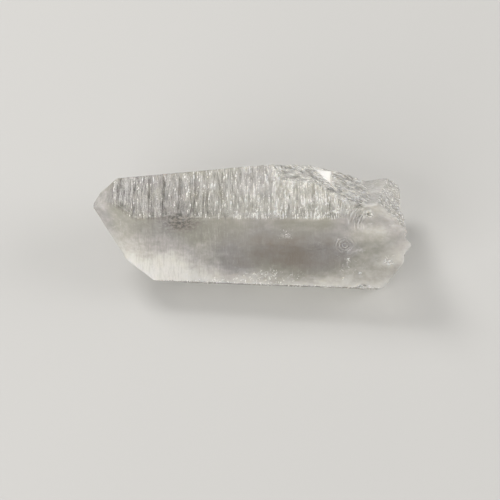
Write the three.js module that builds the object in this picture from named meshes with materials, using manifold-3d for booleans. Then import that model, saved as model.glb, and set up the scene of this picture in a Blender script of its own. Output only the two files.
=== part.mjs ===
// A natural quartz point with laddered growth lines, lying on one of its six
// side faces. Millimetres; X runs along the crystal from its tip to its broken
// base, Z is up, and the resting face lies on Z = 0.
//
// The crystal is worked out about its own long axis: six side faces that lean
// outwards towards the base, six tip faces at the angle of quartz, and the
// breaks of the base, each a plane or a shallow shell given by three points
// or by a centre. Everything is one solid, as it grew.

import * as THREE from 'three';
import { mergeVertices } from 'three/addons/utils/BufferGeometryUtils.js';
import Module from 'manifold-3d';

const wasm = await Module();
wasm.setup();

// Side faces, named A to F around the axis from the upper one towards the
// front. distance: from the axis at mid length. lean: degrees outwards
// towards the base. rung: depth of the growth ladder cut into the face.
const SIDE_FACES = {
  A: { around: 0, distance: 9.65, lean: 2.3, rung: 0.32 },
  B: { around: 60, distance: 8.6, lean: 3.5, rung: 0.05 },
  C: { around: 120, distance: 12.1, lean: 2.8, rung: 0.22 },
  D: { around: 180, distance: 10.8, lean: 1.4, rung: 0 },
  E: { around: 240, distance: 11.2, lean: 2.5, rung: 0.24 },
  F: { around: 300, distance: 12.0, lean: 4.4, rung: 0.12 },
};
// Tip faces: one above each side face, at the angle that quartz always has.
const TIP_ANGLE = 38.2;
const TIP_FACES = { A: 23.8, B: 20.5, C: 21.1, D: 16.5, E: 20.1, F: 24.7 };

// Length that is lofted before the tip and the base are cut, and its rungs.
const LOFT_START = -34;
const LOFT_END = 35;
const RUNGS = 46;
const RISER = 0.26;
const RUNG_JITTER = 0.55;
const STRIPS = 4;
const ALTERNATE_SHARE = 0.45;
const ACROSS_SHARE = 0.25;
const EDGE_SHARE = 0.25;

// Breaks of the base. Each plane is given by three points on it, in mm.
// The long shear took the upper back corner off, from the top face down to
// the back edge; at the base a lump still stands on it.
const SHEAR = [[4.7, 8.7, 9.8], [14.7, 14.2, 1.0], [23.2, -2.6, 10.4]];
const SHEAR_ROUGHNESS = 0.3;
const LUMP_ROUGHNESS = 0.22;
const LUMP = [[24.0, 12.9, -2.4], [23.2, -2.4, 10.3], [29.1, 13.3, -2.1]];
// Terraced floor beside the shear, and the steep wall that ends it.
const TERRACE = [[5.9, 4.4, 9.8], [13.0, 3.1, 10.1], [10.0, 10.0, 7.6]];
const TERRACE_WALL = [[4.7, 8.8, 9.8], [5.9, 4.6, 9.8], [6.6, 9.4, 8.2]];
const TERRACE_STEP = 1.3;
const TERRACE_HEIGHT = 0.5;
// Flat-floored notch in the shear: a bright facet seen from the front.
const NOTCH = { at: [15.2, 10.0, 3.9], size: [3.6, 5.4, 6], facing: [0.1, 0.52, 0.85] };
// Speckled facet between the lump and the broken end.
const END_FACET = [[29.6, 12.5, -2.0], [28.4, -4.6, 9.4], [30.1, -4.6, 8.0]];
const END_FACET_ROUGHNESS = 0.25;
// Broken end: a rough face nearly square to the axis, with a small nose.
const END = [[30.8, -4.6, 8.0], [31.4, 8.0, -1.5], [31.2, -10.8, 2.7]];
const END_ROUGHNESS = 0.5;
const NOSE = { y: -9.1, z: 5.8, height: 1.6, radius: 2.2 };
// Lower front corner of the base, broken off at a slant.
const CORNER = [[26.6, -13.7, -2.3], [31.4, -10.8, 2.7], [29.7, -8.2, -7.4]];
const CORNER_ROUGHNESS = 0.3;
// Shallow shells struck off by single knocks: the striking ball's centre and
// radius. The first is the wide one over the end of the front ridge.
const SHELLS = [
  { at: [27.0, -11.1, 38.9], radius: 30 },
  { at: [22.6, -17.8, -3.2], radius: 5.0 },
  { at: [-14.9, -6.5, 14.0], radius: 6.2 },
  { at: [13.0, -11.1, -15.9], radius: 6.0 },
  { at: [-2.0, 18.1, 0.8], radius: 5.4 },
];

const CUT_SIZE = 120;
const ROUGH_SIZE = 60;
const ROUGH_CELL = 1.2;
const FINE_CELL = 0.65;

const NAMES = Object.keys(SIDE_FACES);
const degrees = THREE.MathUtils.degToRad;

/** Repeatable scatter between 0 and 1 for a pair of whole numbers. */
function scatter(i, j) {
  const s = Math.sin(i * 127.1 + j * 311.7) * 43758.5453;
  return s - Math.floor(s);
}

/** Smooth scatter between -1 and 1 over a plane: corner values blended. */
function waver(x, y) {
  const i = Math.floor(x);
  const j = Math.floor(y);
  const u = THREE.MathUtils.smoothstep(x - i, 0, 1);
  const v = THREE.MathUtils.smoothstep(y - j, 0, 1);
  const near = THREE.MathUtils.lerp(scatter(i, j), scatter(i + 1, j), u);
  const far = THREE.MathUtils.lerp(scatter(i, j + 1), scatter(i + 1, j + 1), u);
  return 2 * THREE.MathUtils.lerp(near, far, v) - 1;
}

/** Direction square to the axis, turned from up towards the front (-Y). */
function outward(around) {
  const turn = degrees(around);
  return new THREE.Vector3(0, -Math.sin(turn), Math.cos(turn));
}

/** A closed three.js geometry as a solid that can be joined and cut. */
function solid(geometry) {
  geometry.deleteAttribute('normal');
  geometry.deleteAttribute('uv');
  const merged = mergeVertices(geometry, 1e-5);
  return new wasm.Manifold(new wasm.Mesh({
    numProp: 3,
    vertProperties: new Float32Array(merged.attributes.position.array),
    triVerts: new Uint32Array(merged.index.array),
  }));
}

/** Where the growth rungs start along the axis, unevenly spaced. */
function rungStations() {
  const pitch = (LOFT_END - LOFT_START) / RUNGS;
  const stations = [LOFT_START];
  for (let rung = 1; rung < RUNGS; rung += 1) {
    const middle = LOFT_START + pitch * (rung + RUNG_JITTER * (scatter(rung, 5) - 0.5));
    stations.push(middle - RISER / 2, middle + RISER / 2);
  }
  stations.push(LOFT_END);
  return stations;
}

/** Distance of a side face from the axis at one station, less its rung. Every
 * other rung is deeper; each keeps most of its depth right across the face,
 * and less at the edges. */
function faceDistance(name, along, row, column) {
  const face = SIDE_FACES[name];
  const lean = degrees(face.lean);
  const rung = Math.floor(row / 2);
  const share = column === 0 || column === STRIPS ? EDGE_SHARE : 1;
  const alternate = ALTERNATE_SHARE * (rung % 2);
  const whole = alternate + (1 - ALTERNATE_SHARE) * scatter(rung, face.around);
  const here = scatter(rung, column + face.around + 1);
  const depth = face.rung * share * THREE.MathUtils.lerp(whole, here, ACROSS_SHARE);
  return (face.distance + along * Math.sin(lean)) / Math.cos(lean) - depth;
}

/** Corner where two neighbouring side faces meet at one station. */
function sideCorner(first, second, along, row) {
  const a = outward(SIDE_FACES[first].around);
  const b = outward(SIDE_FACES[second].around);
  const da = faceDistance(first, along, row, STRIPS);
  const db = faceDistance(second, along, row, 0);
  const det = a.y * b.z - a.z * b.y;
  return new THREE.Vector3(along, (da * b.z - db * a.z) / det, (a.y * db - b.y * da) / det);
}

/** One point of the six-sided body: a column of a face at a station. */
function bodyPoint(faceIndex, column, along, row) {
  const name = NAMES[faceIndex];
  const before = NAMES[(faceIndex + NAMES.length - 1) % NAMES.length];
  const after = NAMES[(faceIndex + 1) % NAMES.length];
  const start = sideCorner(before, name, along, row);
  if (column === 0) return start;
  const end = sideCorner(name, after, along, row);
  const point = start.lerp(end, column / STRIPS);
  const normal = outward(SIDE_FACES[name].around);
  const gap = faceDistance(name, along, row, column) - normal.dot(point);
  return point.addScaledVector(normal, gap);
}

/** The laddered six-sided body, before anything is cut from it. */
function ladderedBody() {
  const stations = rungStations();
  const rows = stations.length - 1;
  const columns = NAMES.length * STRIPS;
  const drum = new THREE.CylinderGeometry(1, 1, rows, columns, rows);
  const position = drum.attributes.position;
  for (let k = 0; k < position.count; k += 1) {
    const row = Math.round(position.getY(k) + rows / 2);
    const along = stations[row];
    const onAxis = Math.hypot(position.getX(k), position.getZ(k)) < 0.5;
    const turn = Math.atan2(position.getX(k), position.getZ(k)) / (2 * Math.PI);
    const step = (Math.round(turn * columns) + columns) % columns;
    const point = onAxis
      ? new THREE.Vector3(along, 0, 0)
      : bodyPoint(Math.floor(step / STRIPS), step % STRIPS, along, row);
    position.setXYZ(k, point.x, point.y, point.z);
  }
  return solid(drum);
}

/** Frame whose Z is the outward side of a plane and whose X is near the axis. */
function planeFrame(normal, point) {
  const x = new THREE.Vector3(1, 0, 0);
  if (Math.abs(normal.x) > 0.9) x.set(0, 1, 0);
  const y = new THREE.Vector3().crossVectors(normal, x).normalize();
  x.crossVectors(y, normal);
  return new THREE.Matrix4().makeBasis(x, y, normal).setPosition(point);
}

/** Everything outside a flat plane, as a large block. */
function outside(normal, distance) {
  const block = new THREE.BoxGeometry(CUT_SIZE, CUT_SIZE, CUT_SIZE);
  block.translate(0, 0, CUT_SIZE / 2);
  const point = normal.clone().multiplyScalar(distance);
  return solid(block.applyMatrix4(planeFrame(normal, point)));
}

/** Everything outside a rough plane through three points; relief in mm. */
function outsideRough(points, relief, cell = ROUGH_CELL) {
  const [a, b, c] = points.map((p) => new THREE.Vector3(...p));
  const plane = new THREE.Plane().setFromCoplanarPoints(a, b, c);
  if (plane.constant > 0) plane.negate();
  const centre = a.clone().add(b).add(c).divideScalar(3);
  const frame = planeFrame(plane.normal, centre);
  const cells = Math.round(ROUGH_SIZE / cell);
  const block = new THREE.BoxGeometry(ROUGH_SIZE, ROUGH_SIZE, ROUGH_SIZE, cells, cells, 1);
  block.translate(0, 0, ROUGH_SIZE / 2);
  const position = block.attributes.position;
  const point = new THREE.Vector3();
  for (let k = 0; k < position.count; k += 1) {
    if (position.getZ(k) > 1) continue;
    point.fromBufferAttribute(position, k).applyMatrix4(frame);
    position.setZ(k, relief(position.getX(k), position.getY(k), point));
  }
  return solid(block.applyMatrix4(frame));
}

/** Terraces across a slope: flat treads with short risers, in mm. */
function terraces(across, step, height) {
  const level = Math.floor(across / step);
  const rise = THREE.MathUtils.smoothstep(across / step - level, 0.7, 1);
  return height * (THREE.MathUtils.lerp(scatter(level, 3), scatter(level + 1, 3), rise) - 0.5);
}

/** Relief of the terraced floor: its ledges run along the crystal. */
function terraceRelief(x, y) {
  return terraces(y + 0.3 * waver(x / 3, 4), TERRACE_STEP, TERRACE_HEIGHT);
}

/** Relief of the long shear: a rough slope, drawn out down the slope. */
function shearRelief(x, y) {
  return SHEAR_ROUGHNESS * (waver(x / 2.2, y / 3.6) + 0.5 * waver(x / 1.3 + 5, y / 1.3));
}

/** Relief of the lump: low, smooth swells. */
function lumpRelief(x, y) {
  return LUMP_ROUGHNESS * waver(x / 4 + 2, y / 4);
}

/** Relief of the speckled facet at the end. */
function endFacetRelief(x, y) {
  return END_FACET_ROUGHNESS * waver(x / 1.4 + 3, y / 1.4);
}

/** Relief of the broken end: broad waves, with the nose standing out. */
function endRelief(x, y, point) {
  const reach = Math.hypot(point.y - NOSE.y, point.z - NOSE.z) / NOSE.radius;
  const nose = NOSE.height * Math.max(0, 1 - reach);
  return nose + END_ROUGHNESS * waver(x / 3.3 + 7, y / 3.3) - END_ROUGHNESS / 2;
}

/** Relief of the slanted corner break. */
function cornerRelief(x, y) {
  return CORNER_ROUGHNESS * waver(x / 2.4, y / 2.4 + 9);
}

/** A block whose bottom is one flat facet, sunk into the surface. */
function notch({ at, size, facing }) {
  const block = new THREE.BoxGeometry(...size);
  block.translate(0, 0, size[2] / 2);
  const normal = new THREE.Vector3(...facing).normalize();
  return solid(block.applyMatrix4(planeFrame(normal, new THREE.Vector3(...at))));
}

/** The crystal: body, tip faces, then the breaks of its base. */
function quartzSolid() {
  const flat = () => 0;
  let crystal = ladderedBody();
  const lean = degrees(TIP_ANGLE);
  for (const name of NAMES) {
    const normal = outward(SIDE_FACES[name].around).multiplyScalar(Math.cos(lean));
    normal.x = -Math.sin(lean);
    crystal = crystal.subtract(outside(normal, TIP_FACES[name]));
  }
  const shear = outsideRough(SHEAR, shearRelief);
  const lump = outsideRough(LUMP, lumpRelief);
  crystal = crystal.subtract(shear.intersect(lump));
  const terrace = outsideRough(TERRACE, terraceRelief, FINE_CELL);
  const wall = outsideRough(TERRACE_WALL, flat, ROUGH_SIZE);
  crystal = crystal.subtract(terrace.intersect(wall).intersect(lump));
  crystal = crystal.subtract(notch(NOTCH));
  crystal = crystal.subtract(outsideRough(END_FACET, endFacetRelief));
  crystal = crystal.subtract(outsideRough(END, endRelief));
  crystal = crystal.subtract(outsideRough(CORNER, cornerRelief));
  for (const shell of SHELLS) {
    const ball = new THREE.IcosahedronGeometry(shell.radius, 7);
    ball.translate(...shell.at);
    crystal = crystal.subtract(solid(ball));
  }
  return crystal;
}

/** A solid's surface as a three.js geometry with flat faces. */
function surface(result) {
  const mesh = result.getMesh();
  const geometry = new THREE.BufferGeometry();
  geometry.setAttribute('position', new THREE.BufferAttribute(mesh.vertProperties, 3));
  geometry.setIndex(new THREE.BufferAttribute(mesh.triVerts, 1));
  geometry.computeVertexNormals();
  return geometry;
}

// Clear to milky grey-white crystal, glossy between its growth lines.
const quartz = new THREE.MeshStandardMaterial({
  color: 0xc9c6bd,
  roughness: 0.25,
  metalness: 0,
  transparent: true,
  opacity: 0.6,
});

const point = new THREE.Mesh(surface(quartzSolid()), quartz);
point.name = 'quartz_point';

// The resting side face is laid level, then the crystal is set on Z = 0 with
// its box centred over the origin.
const laidDown = new THREE.Group();
laidDown.rotation.y = -degrees(SIDE_FACES.D.lean);
laidDown.add(point);

const part = new THREE.Group();
part.add(laidDown);
part.updateMatrixWorld(true);
const box = new THREE.Box3().setFromObject(part, true);
const centre = box.getCenter(new THREE.Vector3());
laidDown.position.set(-centre.x, -centre.y, -box.min.z);

export default part;
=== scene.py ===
"""A raw quartz point with laddered growth lines, lying on one of its side faces.

The crystal is worked out in millimetres about its own long axis, from the same
faces and breaks as its solid: X runs from the tip to the broken base, Z is up.
"""
import math

import bpy
import numpy as np
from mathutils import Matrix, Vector


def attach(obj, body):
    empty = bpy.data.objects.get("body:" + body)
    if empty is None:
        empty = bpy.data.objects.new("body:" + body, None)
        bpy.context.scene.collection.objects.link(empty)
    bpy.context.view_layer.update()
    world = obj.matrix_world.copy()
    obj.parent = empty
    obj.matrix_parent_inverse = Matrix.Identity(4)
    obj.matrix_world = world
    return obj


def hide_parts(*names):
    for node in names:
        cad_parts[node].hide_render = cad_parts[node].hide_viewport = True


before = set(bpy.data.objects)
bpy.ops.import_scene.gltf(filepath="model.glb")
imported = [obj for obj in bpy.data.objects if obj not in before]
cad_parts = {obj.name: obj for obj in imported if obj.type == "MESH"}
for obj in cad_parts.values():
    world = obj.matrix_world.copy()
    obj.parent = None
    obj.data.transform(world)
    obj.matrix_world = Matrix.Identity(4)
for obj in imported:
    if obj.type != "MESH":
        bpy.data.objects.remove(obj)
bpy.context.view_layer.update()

MM = 0.001

# The crystal's faces, in millimetres and degrees
SIDE_FACES = {
    "A": {"around": 0, "distance": 9.65, "lean": 2.3, "rung": 0.32},
    "B": {"around": 60, "distance": 8.6, "lean": 3.5, "rung": 0.04},
    "C": {"around": 120, "distance": 12.1, "lean": 2.8, "rung": 0.22},
    "D": {"around": 180, "distance": 10.8, "lean": 1.4, "rung": 0.0},
    "E": {"around": 240, "distance": 11.2, "lean": 2.5, "rung": 0.24},
    "F": {"around": 300, "distance": 12.0, "lean": 4.4, "rung": 0.12},
}
TIP_ANGLE = 38.2
TIP_FACES = {"A": 23.8, "B": 20.5, "C": 21.1, "D": 16.5, "E": 20.1, "F": 24.7}
NAMES = list(SIDE_FACES)
FULL_RUNG = SIDE_FACES["A"]["rung"]

# The breaks of the base: three points on each plane
SHEAR = [(4.7, 8.7, 9.8), (14.7, 14.2, 1.0), (23.2, -2.6, 10.4)]
LUMP = [(24.0, 12.9, -2.4), (23.2, -2.4, 10.3), (29.1, 13.3, -2.1)]
TERRACE = [(5.9, 4.4, 9.8), (13.0, 3.1, 10.1), (10.0, 10.0, 7.6)]
TERRACE_WALL = [(4.7, 8.8, 9.8), (5.9, 4.6, 9.8), (6.6, 9.4, 8.2)]
END_FACET = [(29.6, 12.5, -2.0), (28.4, -4.6, 9.4), (30.1, -4.6, 8.0)]
END = [(30.8, -4.6, 8.0), (31.4, 8.0, -1.5), (31.2, -10.8, 2.7)]
CORNER = [(27.5, -13.7, -2.3), (31.5, -10.8, 2.7), (27.8, -10.0, -7.4)]
NOTCH = {"at": (15.1, 9.5, 3.1), "facing": (0.06, 0.42, 0.905)}
NOTCH_OUTLINE = [(-2.4, 3.9), (1.9, 3.9), (1.3, -2.7)]
END_STRUCK = (6.0, 9.0)
END_SET_BACK = 0.25
RIB_HEIGHT = 0.16
RIB_SPACING = 1.1
RIB_WIDENING = 0.06
END_STEP_WIDTH = 4.5
END_STEP_HEIGHT = 1.1
HACKLE_LINES = 22
HACKLE_HEIGHT = 0.10
NOSE = {"y": -9.1, "z": 5.8, "height": 1.6, "radius": 2.2}
SHELLS = [
    {"at": (27.0, -11.1, 38.9), "radius": 30.0, "rings_at": (25.3, -6.2, 8.6), "rings_from": 4.0},
    {"at": (22.8, -18.05, -3.4), "radius": 5.0, "rings_at": (24.2, -13.2, -2.6), "rings_from": 0},
    {"at": (-14.9, -6.5, 14.0), "radius": 6.2, "rings_at": (-16.6, -4.0, 8.6), "rings_from": 0},
    {"at": (13.0, -11.1, -15.9), "radius": 6.0, "rings_at": (11.0, -9.0, -10.6), "rings_from": 1},
    {"at": (-2.0, 18.1, 0.8), "radius": 5.4, "rings_at": (-4.0, 13.0, 2.0), "rings_from": 1},
]
RIPPLE_HEIGHT = 0.11
RIPPLE_SPACING = 0.85
RIPPLE_SPREAD = 1.4
RIPPLE_FADE = 0.85
TIP_STEPS = {"B": 0.16, "C": 0.26}
SOFT_EDGES = {"tip B": 1.0, "shell 0": 2.0, "corner": 0.9}
HOLLOW_AT = (23.9, -3.9, 9.9)
HOLLOW_DEPTH = 0.4
HOLLOW_RADIUS = 0.45
FINGERPRINT_AT = (19.1, -8.4, 5.1)
FINGERPRINT_HEIGHT = 0.04
FINGERPRINT_SPREAD = 1.9

# Growth ladder
LOFT_START = -34.0
LOFT_END = 35.0
RUNGS = 46
RISER = 0.26
RUNG_JITTER = 0.55
STRIPS = 4
ALTERNATE_SHARE = 0.45
ACROSS_SHARE = 0.25
EDGE_SHARE = 0.25
# The front face grows smoother towards the base
FRONT_FADE = 0.75
FRONT_FADE_FROM = -10
FRONT_FADE_TO = 6

# Grid of the fine surface
TIP_AT = (-32.40, 2.5, 4.75)
TIP_FIRST = 0.06
CENTRE_FROM = -18.0
END_MEAN = 31.0
END_BEND_FROM = 18.0
ROWS = 380
CAP_ROWS = 24
FACE_COLUMNS = {"A": 60, "B": 58, "C": 24, "D": 24, "E": 26, "F": 46}
CORNER_CROWDING = 0.55
EDGE_WEAR = 0.22
WORN_WIDTH = 0.4
MASK_WIDTH = 0.25
LADDER_MASK_WIDTH = 0.6
SHARP_ANGLE = math.radians(38)
# A distance beyond every face, the longest ray that meets one, and a grazing slope
FAR = 1e3
LONGEST_RAY = 60
GRAZING = 1e-3

# Milky parts and painted light (above zero) and smoky parts (below): place, size and amount
CLOUDS_AND_PAINTED_LIGHT = [
    # The first two are painted glow: the lower front and its bottom rim, lit as by light passing
    # through
    ((-20.0, -10.5, -2.5), (11.0, 7.0, 6.0), 1.25),
    ((0.0, -13.0, -4.5), (34.0, 4.0, 4.0), 0.9),
    ((-28.0, -2.0, 4.0), (7.0, 7.0, 6.0), 0.08),
    ((-31.0, 3.0, 6.5), (4.0, 3.5, 3.0), 0.3),
    ((-14.0, 2.0, 10.0), (14.0, 6.0, 2.5), -0.2),
    ((14.0, 3.0, 10.0), (16.0, 8.0, 3.0), 0.3),
    ((12.0, 7.0, 7.5), (5.0, 5.0, 3.0), 0.4),
    ((27.0, -8.0, 2.0), (8.0, 12.0, 11.0), 0.4),
    # Painted light: the end facet made lighter where the lamps leave it dark
    ((29.5, 4.0, 4.5), (3.5, 8.0, 7.0), 1.1),
    ((-14.3, -4.6, 8.1), (2.8, 1.6, 1.9), -0.9),
    ((7.0, -9.0, 2.6), (11.0, 5.0, 4.5), -0.73),
    ((10.0, -9.4, 2.0), (3.0, 3.0, 1.6), -0.12),
    ((28.4, -10.5, 2.5), (2.0, 2.0, 1.6), 0.3),
    ((26.0, 3.3, 6.6), (2.4, 4.5, 3.5), -0.9),
]
# Zones of small flaws and painted glints: place, size and amount
FLAWS_AND_GLINTS = [
    ((4.0, -11.5, -2.0), (7.5, 2.4, 2.0), 1.0),
    ((7.2, -6.6, 6.6), (1.6, 1.0, 1.3), 1.0),
    ((20.0, -10.5, 1.0), (3.0, 3.0, 4.0), 0.7),
    ((-9.0, -12.0, -3.4), (6.0, 2.0, 1.6), 0.8),
    ((28.0, -10.0, 2.5), (2.5, 2.5, 2.0), 0.8),
    ((-16.5, -5.8, 6.6), (1.7, 1.2, 1.2), 0.8),
    ((-27.5, -3.0, 5.0), (3.0, 3.0, 3.0), 0.4),
]
# Etched patches, dark spots and painted shade on the floor of the hollow: place, size and amount
PITTED_AND_SHADED = [
    ((-14.3, -4.3, 8.4), (3.4, 2.0, 2.0), 1.5),
    ((16.9, 1.8, 9.9), (1.6, 0.7, 1.4), 1.8),
    ((21.8, -2.1, 9.9), (0.8, 0.6, 1.4), 1.8),
    ((13.6, -8.3, 4.4), (2.5, 1.6, 1.8), 0.25),
    # Painted shade: the floor of the hollow
    ((23.9, -4.2, 9.9), (0.35, 0.3, 0.9), 1.5),
]
# Bright chips and painted glints: place, size and amount
CHIPS_AND_GLINTS = [
    ((17.6, -3.5, 10.2), (1.1, 0.7, 0.8), 1.1),
    ((22.1, -9.1, 4.2), (1.3, 0.5, 0.6), 0.5),
    ((28.0, -10.7, 2.1), (1.3, 0.6, 0.8), 0.9),
    ((19.9, -10.0, 2.4), (0.35, 0.35, 0.35), 1.3),
    ((22.2, -11.7, -0.3), (0.3, 0.3, 0.3), 1.3),
    ((18.7, -12.1, -1.5), (0.3, 0.3, 0.3), 1.3),
    ((2.2, -11.0, -1.6), (2.4, 0.5, 0.7), 0.6),
    ((7.2, -6.8, 6.4), (1.1, 0.4, 0.7), 0.5),
    ((24.6, 4.6, 6.0), (1.6, 4.0, 4.0), 0.5),
    # Painted glint: a bright ring round the hollow
    ((23.9, -4.2, 9.7), (1.0, 0.9, 1.4), 0.8),
]
RING_SPACING = 0.62
FINGERPRINT = [(FINGERPRINT_AT, (1.7, 1.5, 1.6), 1.0)]
FAN = [((21.6, -4.6, 9.9), (1.6, 2.2, 1.6), 0.9)]
LEDGE_TURN = math.radians(17)
SPLINTER_TURN = math.radians(21)
# How far each kind of surface is speckled, and how much painted highlight whitens the bright facet
SPECKLED = {"facet": 0.9, "end": 0.3, "lump": 0.4}
BRIGHT_FACET_PAINTED_HIGHLIGHT = 1.2
# Growth lines painted on the tip's upper face. The front face gets more towards the
# tip and fewer towards the base, by the same amount
TIP_LINES = 0.25
FRONT_LINES = 0.08
FRONT_LINES_FROM = -12
FRONT_LINES_TO = 4
# The chipping of the edges rises from the first station and is doubled from the second
CHIPPED_FROM = 20
CHIPPED_FULLY = 27

# Colours of the quartz
LAVENDER_GREY = (0.415, 0.40, 0.395, 1)
GREENISH_GREY = (0.415, 0.405, 0.36, 1)
MILKY_AND_GLOW_WHITE = (0.97, 0.94, 0.90, 1)
SMOKY_BROWN = (0.32, 0.285, 0.245, 1)
BROKEN_GREY = (0.84, 0.83, 0.80, 1)
# Dark lines are partly painted shade of steep steps and cracks, frost white partly painted glints
DARK_LINE_AND_SHADE = (0.09, 0.088, 0.082, 1)
FROST_AND_GLINT_WHITE = (0.98, 0.98, 0.96, 1)

# How the quartz takes the light
QUARTZ_IOR = 1.544
TRANSMISSION = 0.5
SCATTER_RADIUS = (1.0, 0.95, 0.85)
SCATTER_SCALE = 0.004
ABSORPTION_COLOUR = (0.80, 0.79, 0.74, 1)
ABSORPTION_DENSITY = 20
SHADOW_RAY_COLOUR = (0.46, 0.46, 0.45, 1)
BUMP_STRENGTH = 0.9
BUMP_HEIGHT = 0.15 * MM

# Sockets of the groups that draw the marks
MARK_INPUTS = {"Place": "Vector", "Amount": "Float"}
MARK_OUTPUTS = {"Height": "Float", "Bright": "Float", "Dark": "Float"}

# How the resting side face is laid level and the box is set on the origin
LAID_DOWN = -SIDE_FACES["D"]["lean"]
ROW_FRAME_FROM = (0.0664, -0.3744, 10.8)


def scatter(i, j):
    """Repeatable scatter from 0 to 1: the fraction of a large sine of i and j."""
    s = np.sin(i * 127.1 + j * 311.7) * 43758.5453
    return s - np.floor(s)


def waver(x, y):
    """Smooth scatter from -1 to 1: the four corner values of a cell, blended."""
    i, j = np.floor(x), np.floor(y)
    u, v = x - i, y - j
    u, v = u * u * (3 - 2 * u), v * v * (3 - 2 * v)
    near = scatter(i, j) * (1 - u) + scatter(i + 1, j) * u
    far = scatter(i, j + 1) * (1 - u) + scatter(i + 1, j + 1) * u
    return 2 * (near * (1 - v) + far * v) - 1


def smooth(x, start, end):
    """Zero before start, one after end, an S curve between."""
    s = np.clip((x - start) / (end - start), 0, 1)
    return s * s * (3 - 2 * s)


def outward(around):
    """Direction square to the axis, turned from up towards the front."""
    turn = math.radians(around)
    return np.array([0.0, -math.sin(turn), math.cos(turn)])


def leaning_plane(name, lean, distance):
    """Outward normal and distance of a face that leans along the axis."""
    normal = math.cos(math.radians(lean)) * outward(SIDE_FACES[name]["around"])
    normal[0] = -math.sin(math.radians(lean))
    return normal, distance


def side_plane(name):
    """One of the six side faces."""
    return leaning_plane(name, SIDE_FACES[name]["lean"], SIDE_FACES[name]["distance"])


def tip_plane(name):
    """One of the six tip faces."""
    return leaning_plane(name, TIP_ANGLE, TIP_FACES[name])


def plane_through(points):
    """Outward normal and distance of the plane through three points."""
    a, b, c = np.array(points, float)
    normal = np.cross(b - a, c - a)
    normal /= np.linalg.norm(normal)
    distance = normal @ a
    return (normal, distance) if distance > 0 else (-normal, -distance)


def plane_axes(normal):
    """Two directions on a plane: the first close to the crystal's axis."""
    x = np.array([0.0, 1.0, 0.0]) if abs(normal[0]) > 0.9 else np.array([1.0, 0.0, 0.0])
    y = np.cross(normal, x)
    y /= np.linalg.norm(y)
    return np.cross(y, normal), y


def reach(plane, origin, ray, raised=0.0):
    """Distance along each ray to a plane that is raised outwards by a relief."""
    normal, distance = plane
    facing = ray @ normal
    gap = distance + raised - origin @ normal
    return np.where(facing > GRAZING, gap / np.maximum(facing, GRAZING), FAR)


def reach_rough(plane, centre, relief, origin, ray):
    """Distance to a rough plane: its relief is read where the ray meets it."""
    x, y = plane_axes(plane[0])
    flat = np.clip(reach(plane, origin, ray), -LONGEST_RAY, LONGEST_RAY)
    hit = origin + flat[..., None] * ray - centre
    return reach(plane, origin, ray, relief(hit @ x, hit @ y))


def reach_break(points, relief, origin, ray):
    """Distance to a break, whose plane is given by three points."""
    centre = np.mean(np.array(points, float), axis=0)
    return reach_rough(plane_through(points), centre, relief, origin, ray)


def ripples(points, at, spacing, spread, start=0.0):
    """Rings round a place that die away: a sine of the distance."""
    apart = np.linalg.norm(points - np.array(at), axis=-1)
    return np.sin(2 * np.pi * apart / spacing) * np.exp(-(((apart - start) / spread) ** 2))


def reach_shell(shell, origin, ray):
    """Distance to where a ray enters a struck shell.

    Its ripples are rings round the struck place, weaker towards the base.
    """
    to_centre = np.array(shell["at"]) - origin
    middle = np.sum(to_centre * ray, axis=-1)
    inside = shell["radius"] ** 2 - np.sum(to_centre ** 2, axis=-1) + middle ** 2
    smooth_reach = middle - np.sqrt(np.maximum(inside, 0))
    hit = origin + smooth_reach[..., None] * ray
    rings = ripples(hit, shell["rings_at"], RIPPLE_SPACING, RIPPLE_SPREAD, shell["rings_from"])
    rough = RIPPLE_HEIGHT * rings
    rough *= 1 - RIPPLE_FADE * smooth(hit[..., 0] - shell["rings_at"][0], -2.0, 0.5)
    rough += 0.03 * waver(hit[..., 0] / 0.8, hit[..., 1] / 0.5)
    return np.where((inside > 0) & (middle > 0), smooth_reach + rough, FAR)


def reach_notch(origin, ray):
    """Distance to the flat bright facet, whose walls rise outside its outline."""
    normal = np.array(NOTCH["facing"]) / np.linalg.norm(NOTCH["facing"])
    centre = np.array(NOTCH["at"])
    return reach_rough((normal, normal @ centre), centre, notch_relief, origin, ray)


def soft_min(a, b, width):
    """The smaller of two distances, rounded over a width where they are close."""
    h = np.clip(width - np.abs(a - b), 0, None) / width
    return np.minimum(a, b) - h * h * width / 4


def rung_stations():
    """Where the growth rungs start and end along the axis."""
    pitch = (LOFT_END - LOFT_START) / RUNGS
    rung = np.arange(1, RUNGS)
    middle = LOFT_START + pitch * (rung + RUNG_JITTER * (scatter(rung, 5) - 0.5))
    inner = np.stack([middle - RISER / 2, middle + RISER / 2], axis=1).ravel()
    return np.concatenate([[LOFT_START], inner, [LOFT_END]])


def rung_depth(name, along, share):
    """Depth of the growth ladder: steps along the axis, blended across a face.

    Each strip of the face has its own steps, and a point takes the two
    strips beside it in proportion to its share across the face.
    """
    face = SIDE_FACES[name]
    stations = rung_stations()
    rung = np.arange(len(stations)) // 2
    alternate = ALTERNATE_SHARE * (rung % 2)
    whole = alternate + (1 - ALTERNATE_SHARE) * scatter(rung, face["around"])
    depth = np.zeros(along.shape)
    for strip in range(STRIPS + 1):
        here = scatter(rung, strip + face["around"] + 1)
        steps = whole * (1 - ACROSS_SHARE) + here * ACROSS_SHARE
        edge = EDGE_SHARE if strip in (0, STRIPS) else 1.0
        near = np.clip(1 - np.abs(share * STRIPS - strip), 0, 1)
        depth += near * edge * np.interp(along, stations, steps)
    return face["rung"] * depth


def fine_rungs(name, along, across):
    """Fine growth lines: a scatter squeezed flat makes treads along the axis.

    Each tread runs some way across the face. Narrower ones and specks lie on it.
    """
    seed = SIDE_FACES[name]["around"]
    drift = 0.35 * waver(along / 3, across / 2.5 + seed)
    broad = np.tanh(2.5 * waver(along / 0.46 + drift, across / 4.2 + seed))
    narrow = waver(along / 0.24 + drift, across / 1.7 + seed)
    speck = waver(along / 0.2, across / 0.5 + seed)
    return 0.03 * broad + 0.03 * narrow + 0.02 * speck


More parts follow.
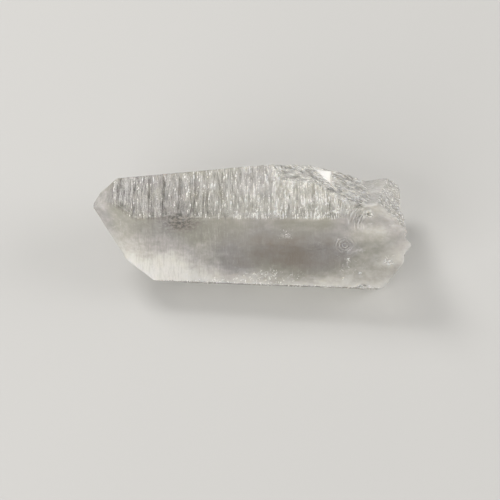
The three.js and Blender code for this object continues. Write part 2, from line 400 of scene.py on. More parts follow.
def section_corners(along):
    """Corners of the plain section at each station: start and end of each face.

    Each face is a line in the section, and its neighbours leave a span of it.
    A face that is left no span shrinks to the corner of the face before it.
    """
    normals = np.array([outward(SIDE_FACES[name]["around"])[1:] for name in NAMES])
    offsets = []
    for name in NAMES:
        side, tip = (
            (distance - normal[0] * along) / np.linalg.norm(normal[1:])
            for normal, distance in (side_plane(name), tip_plane(name))
        )
        offsets.append(np.minimum(side, tip))
    starts, ends, spans = [], [], []
    for i, normal in enumerate(normals):
        across = np.array([-normal[1], normal[0]])
        low, high = np.full(along.shape, -FAR), np.full(along.shape, FAR)
        for j, other in enumerate(normals):
            slope = other @ across
            if abs(slope) < 1e-6:
                continue
            room = (offsets[j] - offsets[i] * (other @ normal)) / slope
            high = np.minimum(high, room) if slope > 0 else high
            low = np.maximum(low, room) if slope < 0 else low
        spans.append(high - low)
        starts.append(offsets[i][..., None] * normal + low[..., None] * across)
        ends.append(offsets[i][..., None] * normal + high[..., None] * across)
    for i in 2 * list(range(len(NAMES))):
        gone = (spans[i] <= 0)[..., None]
        starts[i] = np.where(gone, ends[i - 1], starts[i])
        ends[i] = np.where(gone, ends[i - 1], ends[i])
    return starts, ends


def terraces(across, step, height):
    """Terraces across a slope: flat treads with short risers."""
    level = np.floor(across / step)
    rise = smooth(across / step - level, 0.7, 1.0)
    tread = scatter(level, 3) * (1 - rise) + scatter(level + 1, 3) * rise
    return height * (tread - 0.5)


def terrace_relief(x, y):
    """Terraced floor: broad ledges with fine ledges on them, a little aslant."""
    y = y + 0.3 * x
    broad = terraces(y + 0.4 * waver(x / 3, 4 + 0 * x), 1.5, 0.6)
    fine = terraces(y + 0.35 * waver(x / 2.1, y / 2 + 9), 0.62, 0.3)
    return broad + fine + 0.04 * waver(x / 0.6, y / 0.4)


def shear_relief(x, y):
    """Long shear: waves and wavering ledges that run down the crystal."""
    y = y + 0.2 * x
    rough = 0.32 * waver(x / 2.6, y / 3.6) + 0.12 * waver(x / 1.3 + 5, y / 1.3)
    broad = terraces(y + 1.3 * waver(x / 2.8, y / 3 + 1), 1.9, 0.55)
    fine = terraces(y + 0.7 * waver(x / 1.3 + 8, y / 2), 0.9, 0.36)
    swell = 0.55 * np.exp(-(((x - 4) / 3.2) ** 2) - ((y - 8) / 3.0) ** 2)
    return swell + rough + broad + fine + 0.05 * waver(x / 0.45, y / 0.45)


def lump_relief(x, y):
    """Lump at the base: low swells with small dents on them."""
    return 0.22 * waver(x / 4 + 2, y / 4) + 0.08 * waver(x / 0.7, y / 0.6)


def end_facet_relief(x, y):
    """Speckled facet at the end: small pits."""
    return 0.25 * waver(x / 1.4 + 3, y / 1.4) + 0.08 * waver(x / 0.5, y / 0.5)


def corner_relief(x, y):
    """Slanted corner break: uneven, with fine ripples."""
    return 0.2 * waver(x / 2.4, y / 2.4 + 9) + 0.03 * waver(x / 0.7, y / 0.7)


def outside_outline(x, y, corners):
    """How far a place on a plane lies outside a convex outline."""
    corners = np.array(corners)
    middle = corners.mean(axis=0)
    apart = np.full(np.shape(x), -FAR)
    for one, other in zip(corners, np.roll(corners, -1, axis=0)):
        across = np.array([other[1] - one[1], one[0] - other[0]])
        across *= np.sign(across @ (one - middle)) / np.linalg.norm(across)
        apart = np.maximum(apart, (x - one[0]) * across[0] + (y - one[1]) * across[1])
    return apart


def notch_relief(x, y):
    """Bright facet: almost flat inside its outline, with rough walls round it."""
    outside = outside_outline(x, y, NOTCH_OUTLINE) + 0.15 * waver(x / 0.6, y / 0.6)
    return 1.3 * np.clip(outside, 0, None) + 0.025 * waver(x / 0.9 + 3, y / 0.9)


def hollow_relief(points):
    """Small round hollow with a raised ring, where the wide shell was struck."""
    apart = np.linalg.norm(points - np.array(HOLLOW_AT), axis=-1)
    pit = HOLLOW_DEPTH * np.exp(-((apart / HOLLOW_RADIUS) ** 2))
    ring = 0.5 * HOLLOW_DEPTH * np.exp(-(((apart - 2 * HOLLOW_RADIUS) / HOLLOW_RADIUS) ** 2))
    return ring - pit


def end_station(y, z):
    """Station of the broken end at a place in the section.

    The break spreads from where it was struck: ribs and steps in rings round
    that place, and hackle lines that run out from it. A nose stands out.
    """
    normal, distance = plane_through(END)
    station = (distance - normal[1] * y - normal[2] * z) / normal[0]
    centre = np.mean(np.array(END), axis=0)
    place = np.stack([station, y, z], axis=-1) - centre
    u, v = (place @ axis for axis in plane_axes(normal))
    nose = np.clip(1 - np.hypot(y - NOSE["y"], z - NOSE["z"]) / NOSE["radius"], 0, 1)
    apart = np.hypot(u - END_STRUCK[0], v - END_STRUCK[1])
    spacing = RIB_SPACING + RIB_WIDENING * apart
    ribs = RIB_HEIGHT * np.sin(2 * np.pi * apart / spacing + 1.5 * waver(u / 4, v / 4))
    steps = terraces(apart + 1.2 * waver(u / 4 + 9, v / 4), END_STEP_WIDTH, END_STEP_HEIGHT)
    bearing = np.arctan2(v - END_STRUCK[1], u - END_STRUCK[0])
    hackle = HACKLE_HEIGHT * waver(bearing * HACKLE_LINES, apart / 3)
    rough = 0.5 * waver(u / 3.3 + 7, v / 3.3) + 0.05 * waver(u / 0.9, v / 0.7)
    return station + NOSE["height"] * nose + rough + ribs + steps + hackle - END_SET_BACK


def centre_line(along):
    """The line the rays start from: from the very tip to the axis."""
    away = smooth(along, TIP_AT[0], CENTRE_FROM)
    return np.stack([along, TIP_AT[1] * (1 - away), TIP_AT[2] * (1 - away)], axis=-1)


def rays(along, face, share):
    """Start and direction of the ray of each point of the grid.

    A ray runs square to the axis, from the centre line through the place on
    the plain section at that share of the way across its face.
    """
    starts, ends = section_corners(along)
    start = np.choose(face[..., None], starts)
    end = np.choose(face[..., None], ends)
    place = start + share[..., None] * (end - start)
    origin = centre_line(along)
    ray = np.zeros(origin.shape)
    ray[..., 1:] = place - origin[..., 1:]
    ray /= np.linalg.norm(ray, axis=-1, keepdims=True)
    return origin, ray


def side_relief(name, along, across, share, hit):
    """How far a side face is raised: its ladder, and on the front a fingerprint."""
    raised = -rung_depth(name, along, share)
    raised += (SIDE_FACES[name]["rung"] / FULL_RUNG) * fine_rungs(name, along, across)
    if name == "B":
        raised *= 1 - FRONT_FADE * smooth(along, FRONT_FADE_FROM, FRONT_FADE_TO)
        rings = ripples(hit, FINGERPRINT_AT, RING_SPACING, FINGERPRINT_SPREAD)
        raised += FINGERPRINT_HEIGHT * rings
    return raised


def face_parts(along, origin, ray):
    """Distance along each ray to each side face and each tip face."""
    starts, ends = section_corners(along)
    parts = {}
    for i, name in enumerate(NAMES):
        flat = reach(side_plane(name), origin, ray)
        hit = origin + np.clip(flat, 0, LONGEST_RAY)[..., None] * ray
        span = ends[i] - starts[i]
        width = np.maximum(np.linalg.norm(span, axis=-1), 0.1)
        across = np.sum((hit[..., 1:] - starts[i]) * span, axis=-1) / width
        share = np.clip(across / width, 0, 1)
        raised = side_relief(name, along, across, share, hit)
        parts["side " + name] = reach(side_plane(name), origin, ray, raised)
        treads = terraces(along + 0.3 * waver(across / 2, 1.0), 1.6, 1.0)
        steps = TIP_STEPS.get(name, 0) * treads
        parts["tip " + name] = reach(tip_plane(name), origin, ray, steps)
    return parts


def break_parts(shear, lump, origin, ray):
    """Distance along each ray to each break.

    The shear and the terraced floor end where the lump stands out of them.
    """
    terrace = reach_break(TERRACE, terrace_relief, origin, ray)
    wall = reach(plane_through(TERRACE_WALL), origin, ray)
    parts = {
        "shear": np.maximum(shear, lump),
        "terrace": np.maximum(np.maximum(terrace, wall), lump),
        "notch": reach_notch(origin, ray),
        "facet": reach_break(END_FACET, end_facet_relief, origin, ray),
        "corner": reach_break(CORNER, corner_relief, origin, ray),
    }
    for i, shell in enumerate(SHELLS):
        parts[f"shell {i}"] = reach_shell(shell, origin, ray)
    return parts


def surface_masks(parts, reached, shear, lump):
    """How much of each kind of surface is at each point, from 0 to 1.

    It is one where that part ends the ray, and falls to none as the part moves
    away from it. Where the two nearest parts are close, the edge is worn
    and gets a painted rim highlight.
    """
    masks = {}
    for name, part in parts.items():
        width = LADDER_MASK_WIDTH if name == "side A" else MASK_WIDTH
        masks[name] = np.clip(1 - (part - reached) / width, 0, 1)
    masks["lump"] = masks["shear"] * smooth(lump - shear, -0.3, 0.3)
    masks["shear"] = masks["shear"] - masks["lump"]
    nearest, second = np.partition(np.array(list(parts.values())), 1, axis=0)[:2]
    masks["wear_and_rim_sheen"] = np.clip(1 - (second - nearest) / WORN_WIDTH, 0, 1) ** 2
    return masks


def surface(along, face, share):
    """Points of the surface at stations along the axis, and their masks.

    Each ray ends at the nearest of the faces and breaks, rounded a little
    where two are close.
    """
    origin, ray = rays(along, face, share)
    turn = np.arctan2(ray[..., 2], ray[..., 1])
    wear = EDGE_WEAR * (1 + 0.8 * waver(along / 0.9, turn * 9))
    lump = reach_break(LUMP, lump_relief, origin, ray)
    shear = reach_break(SHEAR, shear_relief, origin, ray)
    parts = face_parts(along, origin, ray) | break_parts(shear, lump, origin, ray)
    reached = np.full(along.shape, FAR)
    for name, part in parts.items():
        width = SOFT_EDGES.get(name, wear)
        reached = soft_min(reached, part, np.minimum(width, 0.3 * np.abs(part) + 0.01))
    points = origin + reached[..., None] * ray
    points += hollow_relief(points)[..., None] * ray
    return points, surface_masks(parts, reached, shear, lump)


def grid():
    """Face number and share across its face of each column round the crystal."""
    face, share = [], []
    for i, name in enumerate(NAMES):
        u = np.arange(FACE_COLUMNS[name]) / FACE_COLUMNS[name]
        crowd = CORNER_CROWDING * np.sin(2 * np.pi * u) / (2 * np.pi)
        face.append(np.full(len(u), i))
        share.append(u - crowd)
    return np.concatenate(face), np.concatenate(share)


def crystal_surface():
    """The whole crystal: rows along the axis, then rows that close the end.

    The rows start at the tip and bend, over the last stretch, to where the
    broken end cuts each column. The end's rows shrink to its middle.
    """
    face, share = grid()
    rows = np.linspace(0, 1, ROWS)[:, None]
    straight = TIP_AT[0] + TIP_FIRST + rows * (END_MEAN - TIP_AT[0] - TIP_FIRST)
    straight = straight + 0 * share
    face_grid = np.broadcast_to(face, straight.shape)
    share_grid = np.broadcast_to(share, straight.shape)
    last = straight[-1]
    for _ in range(6):
        rim, _ = surface(last, face, share)
        last = 0.5 * last + 0.5 * end_station(rim[:, 1], rim[:, 2])
    bend = smooth(straight, END_BEND_FROM, END_MEAN)
    along = straight + bend * (last - END_MEAN)
    points, masks = surface(along, face_grid, share_grid)
    middle = points[-1].mean(axis=0)
    shrink = np.linspace(1, 0, CAP_ROWS + 1)[1:-1, None, None]
    cap = middle + shrink * (points[-1] - middle)
    cap[..., 0] = end_station(cap[..., 1], cap[..., 2])
    pole = middle.copy()
    pole[0] = end_station(middle[1], middle[2])
    end = {name: np.zeros(cap.shape[:2]) for name in masks}
    every = {name: np.concatenate([masks[name], end[name]]) for name in masks}
    every["end"] = np.concatenate([0 * along, np.ones(cap.shape[:2])])
    return np.concatenate([points, cap]), every, np.array(TIP_AT), pole


def to_row_frame(points):
    """Millimetres about the crystal's axis to metres where the crystal lies."""
    c, s = math.cos(math.radians(LAID_DOWN)), math.sin(math.radians(LAID_DOWN))
    turned = points @ np.array([[c, 0, s], [0, 1, 0], [-s, 0, c]]).T
    return (turned + np.array(ROW_FRAME_FROM)) * MM


def quads_to_triangles(points):
    """Two triangles for every cell, split along the diagonal that stands out."""
    rows, columns = points.shape[:2]
    index = np.arange(rows * columns).reshape(rows, columns)
    after = np.roll(index, -1, axis=1)
    a, b, c, d = (g.ravel() for g in (index[:-1], after[:-1], after[1:], index[1:]))
    flat = points.reshape(-1, 3)
    out = [np.linalg.norm((flat[p] + flat[q])[:, 1:], axis=1) for p, q in ((a, c), (b, d))]
    first = (out[0] >= out[1])[:, None]
    one = np.where(first, np.stack([a, b, c], 1), np.stack([a, b, d], 1))
    two = np.where(first, np.stack([a, c, d], 1), np.stack([b, c, d], 1))
    return np.concatenate([one, two])


def closed_triangles(points):
    """Triangles of the whole grid, with a fan at the tip and one at the end."""
    rows, columns = points.shape[:2]
    body = quads_to_triangles(points)
    ring = np.arange(columns)
    after = np.roll(ring, -1)
    tip, pole = rows * columns, rows * columns + 1
    base = (rows - 1) * columns
    first = np.stack([np.full(columns, tip), after, ring], axis=1)
    last = np.stack([np.full(columns, pole), base + ring, base + after], axis=1)
    return np.concatenate([first, body, last])


def weld(points, triangles, attributes):
    """Points that fall on each other become one, and flat triangles go."""
    _, first, same = np.unique(
        np.round(points, 4), axis=0, return_index=True, return_inverse=True
    )
    triangles = same.ravel()[triangles]
    a, b, c = triangles.T
    triangles = triangles[(a != b) & (b != c) & (c != a)]
    return points[first], triangles, {n: v[first] for n, v in attributes.items()}


def add_mesh(name, points, triangles, material):
    """A mesh object at the origin from arrays of points and triangles."""
    mesh = bpy.data.meshes.new(name)
    mesh.vertices.add(len(points))
    mesh.vertices.foreach_set("co", points.astype(np.float32).ravel())
    mesh.loops.add(3 * len(triangles))
    mesh.loops.foreach_set("vertex_index", triangles.astype(np.int32).ravel())
    mesh.polygons.add(len(triangles))
    mesh.polygons.foreach_set("loop_start", np.arange(len(triangles), dtype=np.int32) * 3)
    mesh.update(calc_edges=True)
    mesh.materials.append(material)
    piece = bpy.data.objects.new(name, mesh)
    bpy.context.scene.collection.objects.link(piece)
    return piece


def add_attribute(mesh, name, values):
    """One number for each point of the mesh, for the material to read."""
    attribute = mesh.attributes.new(name, "FLOAT", "POINT")
    attribute.data.foreach_set("value", values.astype(np.float32))


def node(tree, kind, inputs=(), **settings):
    """A shader node with its settings, and its inputs set or linked by name."""
    made = tree.nodes.new("ShaderNode" + kind)
    for key, value in settings.items():
        setattr(made, key, value)
    for key, value in dict(inputs).items():
        if isinstance(value, bpy.types.NodeSocket):
            tree.links.new(value, made.inputs[key])
        else:
            made.inputs[key].default_value = value
    return made


def maths(tree, operation, *values):
    """One step of arithmetic."""
    return node(tree, "Math", enumerate(values), operation=operation).outputs[0]


def ramp(tree, value, low, high, to_low=0.0, to_high=1.0):
    """A value taken smoothly from one range to another."""
    names = ("Value", "From Min", "From Max", "To Min", "To Max")
    values = dict(zip(names, (value, low, high, to_low, to_high)))
    return node(tree, "MapRange", values, interpolation_type="SMOOTHSTEP").outputs[0]


def blend(tree, amount, one, other):
    """A colour part of the way from one to another."""
    made = node(tree, "Mix", data_type="RGBA")
    for socket, value in zip((made.inputs[0], made.inputs[6], made.inputs[7]), (amount, one, other)):
        if isinstance(value, bpy.types.NodeSocket):
            tree.links.new(value, socket)
        else:
            socket.default_value = value
    return made.outputs[2]


def noise(tree, place, grain, detail, roughness=0.55):
    """Noise whose grain has its own length along X, Y and Z, in millimetres."""
    stretched = node(
        tree, "VectorMath", {0: place, 1: [1 / length for length in grain]},
        operation="MULTIPLY",
    )
    settings = {
        "Vector": stretched.outputs[0], "Scale": 1.0,
        "Detail": detail, "Roughness": roughness,
    }
    return node(tree, "TexNoise", settings).outputs[0]


def new_group(name, inputs, outputs):
    """An empty node group with named sockets."""
    tree = bpy.data.node_groups.new(name, "ShaderNodeTree")
    for side, sockets in (("INPUT", inputs), ("OUTPUT", outputs)):
        for socket, kind in sockets.items():
            tree.interface.new_socket(
                name=socket, in_out=side, socket_type="NodeSocket" + kind
            )
    return tree, tree.nodes.new("NodeGroupInput").outputs, tree.nodes.new("NodeGroupOutput").inputs


def give(tree, out, amount, **values):
    """Link values, each times an amount, to the group's outputs of the same names."""
    for name, value in values.items():
        tree.links.new(maths(tree, "MULTIPLY", value, amount), out[name])


def growth_line_group():
    """Growth lines: bright and dark dashes square to the axis, and their relief.

    More of the dashes are bright towards the base. The bright ones are frost
    and painted glints, the dark ones painted shade of the steps.
    """
    tree, given, out = new_group("growth_lines", MARK_INPUTS, MARK_OUTPUTS)
    place = given["Place"]
    along = node(tree, "SeparateXYZ", {"Vector": place}).outputs["X"]
    dashes = noise(tree, place, (0.26, 2.4, 2.4), 2.0, 0.6)
    specks = noise(tree, place, (0.17, 0.42, 0.42), 1.0)
    bands = noise(tree, place, (1.5, 9.0, 9.0), 1.0)
    height = maths(tree, "ADD", dashes, maths(tree, "MULTIPLY", specks, 0.45))
    lines = maths(tree, "ADD", dashes, maths(tree, "MULTIPLY", bands, 0.35))
    lines = maths(tree, "ADD", lines, maths(tree, "MULTIPLY", specks, 0.45))
    lines = maths(tree, "ADD", lines, ramp(tree, along, -28, 20, -0.10, 0.045))
    bright = ramp(tree, lines, 0.96, 1.08)
    dark = ramp(tree, lines, 0.91, 0.62)
    give(tree, out, given["Amount"], Height=height, Bright=bright, Dark=dark)
    return tree


def broken_group():
    """Broken quartz: fine splinters and veins drawn out one way, and their relief."""
    inputs = MARK_INPUTS | {"Turn": "Float"}
    tree, given, out = new_group("broken_grain", inputs, MARK_OUTPUTS)
    turned = node(
        tree, "VectorRotate", {"Vector": given["Place"], "Angle": given["Turn"]},
        rotation_type="Z_AXIS",
    ).outputs[0]
    grain = noise(tree, turned, (1.5, 0.34, 0.34), 3.0, 0.65)
    patches = noise(tree, turned, (2.8, 1.6, 1.6), 2.0)
    folds = noise(tree, turned, (2.2, 0.9, 0.9), 3.0, 0.6)
    off_middle = maths(tree, "ABSOLUTE", maths(tree, "SUBTRACT", folds, 0.5))
    veins = ramp(tree, off_middle, 0.040, 0.012)
    lines = maths(tree, "ADD", grain, maths(tree, "MULTIPLY", patches, 0.5))
    bright = ramp(tree, lines, 0.76, 0.88)
    dark = maths(tree, "MULTIPLY", veins, 0.9)
    dark = maths(tree, "MAXIMUM", ramp(tree, lines, 0.72, 0.60), dark)
    sunk = maths(tree, "MULTIPLY", veins, 0.3)
    height = maths(tree, "SUBTRACT", maths(tree, "MULTIPLY", grain, 1.6), sunk)
    give(tree, out, given["Amount"], Height=height, Bright=bright, Dark=dark)
    return tree


def wear_group():
    """Worn edges: a broken line of small white chips, and a painted highlight along the rims."""
    tree, given, out = new_group("edge_wear", MARK_INPUTS, {"Bright": "Float"})
    chips_and_glints = noise(tree, given["Place"], (0.8, 0.5, 0.5), 3.0, 0.7)
    chips_and_glints = ramp(tree, chips_and_glints, 0.52, 0.68, 0.0, 0.45)
    give(tree, out, given["Amount"], Bright=chips_and_glints)
    return tree


def pitted_group():
    """Etched, pitted quartz: dark specks with bright ones between."""
    inputs = MARK_INPUTS | {"Shade": "Float", "Sparkle": "Float"}
    tree, given, out = new_group("pits", inputs, MARK_OUTPUTS)
    pits = noise(tree, given["Place"], (0.60, 0.45, 0.45), 3.0, 0.7)
    dark = maths(tree, "MULTIPLY", ramp(tree, pits, 0.58, 0.42), given["Amount"])
    bright = maths(tree, "MULTIPLY", ramp(tree, pits, 0.56, 0.66), given["Amount"])
    give(tree, out, given["Amount"], Height=pits)
    tree.links.new(maths(tree, "MULTIPLY", dark, given["Shade"]), out["Dark"])
    tree.links.new(maths(tree, "MULTIPLY", bright, given["Sparkle"]), out["Bright"])
    return tree


def chips_and_glints_group():
    """Bright chips and painted glints: small white grains close together."""
    tree, given, out = new_group("chips_and_glints", MARK_INPUTS, {"Bright": "Float"})
    grains = ramp(tree, noise(tree, given["Place"], (0.5, 0.45, 0.45), 2.0), 0.42, 0.56)
    give(tree, out, given["Amount"], Bright=grains)
    return tree


def ring_group():
    """Rings round a place: a sine of the distance, with a little wander."""
    inputs = MARK_INPUTS | {"Centre": "Vector"}
    tree, given, out = new_group("rings", inputs, MARK_OUTPUTS)
    apart = node(
        tree, "VectorMath", {0: given["Place"], 1: given["Centre"]}, operation="DISTANCE"
    ).outputs["Value"]
    wander = noise(tree, given["Place"], (1.1, 1.1, 1.1), 2.0)
    turns = maths(tree, "ADD", maths(tree, "DIVIDE", apart, RING_SPACING), wander)
    wave = maths(tree, "SINE", maths(tree, "MULTIPLY", turns, 2 * math.pi))
    broken = ramp(tree, noise(tree, given["Place"], (0.8, 0.8, 0.8), 2.0), 0.38, 0.58)
    amount = maths(tree, "MULTIPLY", broken, given["Amount"])
    bright = ramp(tree, wave, 0.2, 1, 0, 0.5)
    dark = ramp(tree, wave, -0.2, -1, 0, 0.7)
    give(tree, out, amount, Height=wave, Bright=bright, Dark=dark)
    return tree


def flaws_and_glints_group():
    """Small flaws in the quartz: bright hair cracks and sparks, painted glints of cracks catching
    light.
    """
    tree, given, out = new_group("flaws_and_glints", MARK_INPUTS, {"Bright": "Float"})
    field = noise(tree, given["Place"], (1.2, 1.0, 1.6), 2.0, 0.6)
    off_middle = maths(tree, "ABSOLUTE", maths(tree, "SUBTRACT", field, 0.5))
    cracks = ramp(tree, off_middle, 0.018, 0.004)
    parts = noise(tree, given["Place"], (0.9, 0.9, 0.9), 1.0)
    cracks = maths(tree, "MULTIPLY", cracks, ramp(tree, parts, 0.50, 0.60))
    sparks = ramp(tree, noise(tree, given["Place"], (0.36, 0.36, 0.36), 1.0), 0.70, 0.76)
    give(tree, out, given["Amount"], Bright=maths(tree, "MAXIMUM", cracks, sparks))
    return tree


def mist_and_painted_light_group():
    """Cloudy quartz: milky and smoky parts, wisps along their borders, and painted glow and light.
    """
    tree, given, out = new_group(
        "mist_and_painted_light", {"Place": "Vector", "Cloud and painted light": "Float"}, {"Color": "Color"}
    )
    place = given["Place"]
    swells = noise(tree, place, (6.0, 3.5, 3.5), 3.0)
    wisps = noise(tree, place, (1.7, 1.3, 1.3), 3.0, 0.6)
    tint = noise(tree, place, (14.0, 9.0, 9.0), 1.0)
    cloud_and_painted_light = maths(tree, "ADD", given["Cloud and painted light"], ramp(tree, swells, 0.3, 0.7, -0.18, 0.18))
    silk = noise(tree, place, (0.7, 0.5, 0.5), 2.0)
    cloud_and_painted_light = maths(tree, "ADD", cloud_and_painted_light, ramp(tree, wisps, 0.3, 0.7, -0.10, 0.10))
    cloud_and_painted_light = maths(tree, "ADD", cloud_and_painted_light, ramp(tree, silk, 0.3, 0.7, -0.05, 0.05))
    clear = blend(tree, ramp(tree, tint, 0.4, 0.6), LAVENDER_GREY, GREENISH_GREY)
    milky_and_glow = blend(tree, ramp(tree, cloud_and_painted_light, -0.2, 1.2), clear, MILKY_AND_GLOW_WHITE)
    smoky = blend(tree, ramp(tree, cloud_and_painted_light, 0.1, -0.9), milky_and_glow, SMOKY_BROWN)
    tree.links.new(smoky, out["Color"])
    return tree


def mark_nodes(tree, place):
    """A group node for each kind of mark, and the mesh's mask of where it is."""
    groups = {
        "ladder": growth_line_group(), "ledges": broken_group(), "pits": pitted_group(),
        "flaws_and_glints": flaws_and_glints_group(), "wear_and_rim_sheen": wear_group(), "chips_and_glints": chips_and_glints_group(),
        "fingerprint": ring_group(),
    }
    groups["splinters"] = groups["ledges"]
    groups["speckle"] = groups["pits"]
    groups["fan"] = groups["fingerprint"]
    made, mask = {}, {}
    for name, group in groups.items():
        made[name] = node(tree, "Group", node_tree=group)
        mask[name] = node(tree, "Attribute", attribute_name=name).outputs["Fac"]
        tree.links.new(place, made[name].inputs["Place"])
        tree.links.new(mask[name], made[name].inputs["Amount"])
    for name, turn in (("ledges", LEDGE_TURN), ("splinters", SPLINTER_TURN)):
        made[name].inputs["Turn"].default_value = turn
    for name, shade, sparkle in (("pits", 1.0, 0.3), ("speckle", 0.6, 1.0)):
        made[name].inputs["Shade"].default_value = shade
        made[name].inputs["Sparkle"].default_value = sparkle
    for name, centre in (("fingerprint", FINGERPRINT_AT), ("fan", SHELLS[0]["rings_at"])):
        made[name].inputs["Centre"].default_value = to_row_frame(np.array(centre)) / MM
    return made, mask


def strongest_marks(tree, made):
    """The strongest dark and bright mark at each place, and their summed relief."""
    dark, bright, height = 0.0, 0.0, 0.0
    for effect in made.values():
        bright = maths(tree, "MAXIMUM", effect.outputs["Bright"], bright)
        if "Dark" in effect.outputs:
            dark = maths(tree, "MAXIMUM", effect.outputs["Dark"], dark)
            height = maths(tree, "ADD", effect.outputs["Height"], height)
    return dark, bright, height


def paint_quartz(tree, shader):
    """Colour, roughness and bump: mist and painted light first, then broken grain, dark and bright.

    Bright marks are weakened on the pitted patches, the dark spots and the hollow's painted shade.
    """
    coordinates = node(tree, "TexCoord")
    place = node(
        tree, "VectorMath", {0: coordinates.outputs["Object"], 3: 1 / MM}, operation="SCALE"
    ).outputs[0]
    made, mask = mark_nodes(tree, place)
    cloud_and_painted_light = node(tree, "Attribute", attribute_name="cloud_and_painted_light").outputs["Fac"]
    mist_and_painted_light = node(tree, "Group", node_tree=mist_and_painted_light_group())
    tree.links.new(place, mist_and_painted_light.inputs["Place"])
    tree.links.new(cloud_and_painted_light, mist_and_painted_light.inputs["Cloud and painted light"])
    dark, bright, height = strongest_marks(tree, made)
    rough = maths(tree, "MAXIMUM", mask["ledges"], mask["splinters"])
    rough = maths(tree, "MAXIMUM", rough, mask["speckle"])
    colour = blend(tree, maths(tree, "MULTIPLY", rough, 0.8), mist_and_painted_light.outputs["Color"], BROKEN_GREY)
    bright = maths(tree, "MULTIPLY", bright, ramp(tree, mask["pits"], 0.2, 0.9, 1.0, 0.15))
    # Dark marks are partly painted shade, bright marks partly painted glints
    colour = blend(tree, maths(tree, "MULTIPLY", dark, 0.88), colour, DARK_LINE_AND_SHADE)
    colour = blend(tree, maths(tree, "MULTIPLY", bright, 0.95), colour, FROST_AND_GLINT_WHITE)
    tree.links.new(colour, shader.inputs["Base Color"])
    tree.links.new(ramp(tree, bright, 0, 1, 0.20, 0.35), shader.inputs["Roughness"])
    relief = {"Height": height, "Strength": BUMP_STRENGTH, "Distance": BUMP_HEIGHT}
    tree.links.new(node(tree, "Bump", relief).outputs["Normal"], shader.inputs["Normal"])


def quartz_material():
    """Milky clear quartz. Shadow rays pass it at a little under half strength."""
    material = bpy.data.materials.new("quartz")
    material.use_nodes = True
    tree = material.node_tree
    shader = tree.nodes["Principled BSDF"]
    output = tree.nodes["Material Output"]
    paint_quartz(tree, shader)
    shader.inputs["IOR"].default_value = QUARTZ_IOR
    shader.inputs["Transmission Weight"].default_value = TRANSMISSION
    shader.inputs["Subsurface Weight"].default_value = 1.0
    shader.inputs["Subsurface Radius"].default_value = SCATTER_RADIUS
    shader.inputs["Subsurface Scale"].default_value = SCATTER_SCALE
    path = node(tree, "LightPath")
    passed = node(tree, "BsdfTransparent", {"Color": SHADOW_RAY_COLOUR})
    choice = node(
        tree, "MixShader",
        {0: path.outputs["Is Shadow Ray"], 1: shader.outputs[0], 2: passed.outputs[0]},
    )
    tree.links.new(choice.outputs[0], output.inputs["Surface"])
    absorption = {"Color": ABSORPTION_COLOUR, "Density": ABSORPTION_DENSITY}
    absorb = node(tree, "VolumeAbsorption", absorption)
    tree.links.new(absorb.outputs[0], output.inputs["Volume"])
    return material


def lumps(points, zones):
    """Sum of soft lumps in the crystal, each with its place, size and amount."""
    total = np.zeros(points.shape[:-1])
    for at, size, amount in zones:
        apart = (points - np.array(at)) / np.array(size)
        total += amount * np.exp(-np.sum(apart ** 2, axis=-1))
    return total


def make_crystal():
    """The quartz point, with the masks its material reads."""
    points, masks, tip, pole = crystal_surface()
    triangles = closed_triangles(points)
    every = np.concatenate([points.reshape(-1, 3), [tip, pole]])
    along = points[..., 0]
    ladder = sum(masks["side " + n] * SIDE_FACES[n]["rung"] / FULL_RUNG for n in NAMES)
    towards_tip = 1 - 2 * smooth(along, FRONT_LINES_FROM, FRONT_LINES_TO)
    ladder += FRONT_LINES * masks["side B"] * towards_tip
    attributes = {
        "ladder": ladder + TIP_LINES * masks["tip A"],
        "ledges": masks["terrace"],
        "splinters": masks["shear"] + masks["shell 1"],
        "pits": lumps(points, PITTED_AND_SHADED),
        "speckle": sum(amount * masks[kind] for kind, amount in SPECKLED.items()),
        "flaws_and_glints": lumps(points, FLAWS_AND_GLINTS),
        # Worn edges, which also carry a painted highlight along the rims
        "wear_and_rim_sheen": masks["wear_and_rim_sheen"] * (1 + smooth(along, CHIPPED_FROM, CHIPPED_FULLY)),
        "chips_and_glints": lumps(points, CHIPS_AND_GLINTS),
        "fingerprint": lumps(points, FINGERPRINT),
        "fan": lumps(points, FAN),
    }
    attributes = {
        name: np.concatenate([np.clip(values, 0, 1).ravel(), [0, 1]])
        for name, values in attributes.items()
    }
    # Milky and smoky parts, with painted glow and painted light
    attributes["cloud_and_painted_light"] = lumps(every, CLOUDS_AND_PAINTED_LIGHT)
    # Painted highlight: the bright facet whitened in its colour, beside the back light's real glint
    attributes["cloud_and_painted_light"][:masks["notch"].size] += BRIGHT_FACET_PAINTED_HIGHLIGHT * masks["notch"].ravel()
    every, triangles, attributes = weld(every, triangles, attributes)
    crystal = add_mesh("quartz_crystal", to_row_frame(every), triangles, quartz_material())
    for name, values in attributes.items():
        add_attribute(crystal.data, name, values)
    crystal.data.shade_smooth()
    crystal.data.set_sharp_from_angle(angle=SHARP_ANGLE)
    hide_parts("quartz_point")
    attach(crystal, "root")


FLOOR_COLOUR = (0.45, 0.447, 0.44, 1)
FLOOR_HALF = 2.0


def make_floor():
    """Plain pale floor, large enough to fill every view."""
    material = bpy.data.materials.new("pale_floor")
    material.use_nodes = True
    shader = material.node_tree.nodes["Principled BSDF"]
    shader.inputs["Base Color"].default_value = FLOOR_COLOUR
    shader.inputs["Roughness"].default_value = 0.9
    half = FLOOR_HALF
    corners = np.array([(-half, -half, 0), (half, -half, 0), (half, half, 0), (-half, half, 0)])
    floor = add_mesh("floor", corners, np.array([(0, 1, 2), (0, 2, 3)]), material)


def add_light(name, place, size, power, colour):
    """A square soft light that faces the origin."""
    data = bpy.data.lights.new(name, "AREA")
    data.shape = "SQUARE"
    data.size = size
    data.energy = power
    data.color = colour
    light = bpy.data.objects.new(name, data)
    light.location = place
    light.rotation_mode = "QUATERNION"
    light.rotation_quaternion = (-Vector(place)).to_track_quat("-Z", "Y")
    bpy.context.scene.collection.objects.link(light)


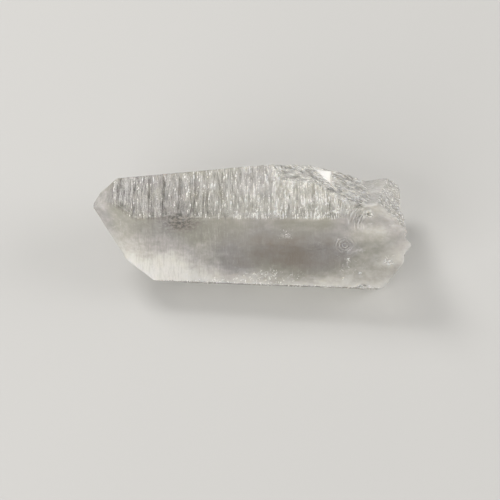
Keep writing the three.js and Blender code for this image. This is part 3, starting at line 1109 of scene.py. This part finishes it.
# Lights: place and size in metres, power in watts, and colour
LIGHTS = {
    "main_light": ((-0.30, 0.30, 0.50), 0.24, 2.9, (1.0, 0.985, 0.955)),
    "fill_light": ((-0.34, -0.50, 0.30), 0.50, 4.2, (1.0, 0.985, 0.96)),
    "side_light": ((0.55, 0.05, 0.30), 0.40, 2.3, (1.0, 0.985, 0.96)),
    "back_light": ((0.04, 0.62, 0.10), 0.18, 0.42, (1.0, 0.985, 0.96)),
}
SURROUND_COLOUR = (0.82, 0.81, 0.79, 1)
SURROUND_STRENGTH = 0.44


def make_studio():
    """Four soft lights and a pale surround.

    The main one is behind on the left, the fill in front on the left and a
    weaker one on the right. A low one behind shines back off the facet.
    """
    for name, light in LIGHTS.items():
        add_light(name, *light)
    world = bpy.data.worlds.new("surround")
    world.use_nodes = True
    background = world.node_tree.nodes["Background"]
    background.inputs["Color"].default_value = SURROUND_COLOUR
    background.inputs["Strength"].default_value = SURROUND_STRENGTH
    bpy.context.scene.world = world


# Camera: looks down at the front, in the photograph's frame
ELEVATION = 56.0
CAMERA_DISTANCE = 0.330
FRAME_WIDTH = 500
FOCAL_PIXELS = 1590.0
MIDDLE_AT = (251.0, 226.0)


def make_camera():
    """The camera: the crystal's middle lands on its place in the picture."""
    rise = math.radians(ELEVATION)
    back = Vector((0, -math.cos(rise), math.sin(rise)))
    up = Vector((0, math.sin(rise), math.cos(rise)))
    middle = Vector(ROW_FRAME_FROM) * MM
    pixel = CAMERA_DISTANCE / FOCAL_PIXELS
    aside = (FRAME_WIDTH / 2 - MIDDLE_AT[0]) * pixel
    below = (FRAME_WIDTH / 2 - MIDDLE_AT[1]) * pixel
    target = middle + Vector((aside, 0, 0)) - below * up
    data = bpy.data.cameras.new("camera")
    data.sensor_width = 36.0
    data.lens = data.sensor_width * FOCAL_PIXELS / FRAME_WIDTH
    data.clip_start = 0.01
    camera = bpy.data.objects.new("camera", data)
    camera.location = middle + CAMERA_DISTANCE * back
    camera.rotation_mode = "QUATERNION"
    camera.rotation_quaternion = (target - camera.location).to_track_quat("-Z", "Y")
    bpy.context.scene.collection.objects.link(camera)
    bpy.context.scene.camera = camera


make_crystal()
make_floor()
make_studio()
make_camera()
bpy.context.scene.view_settings.view_transform = "Standard"
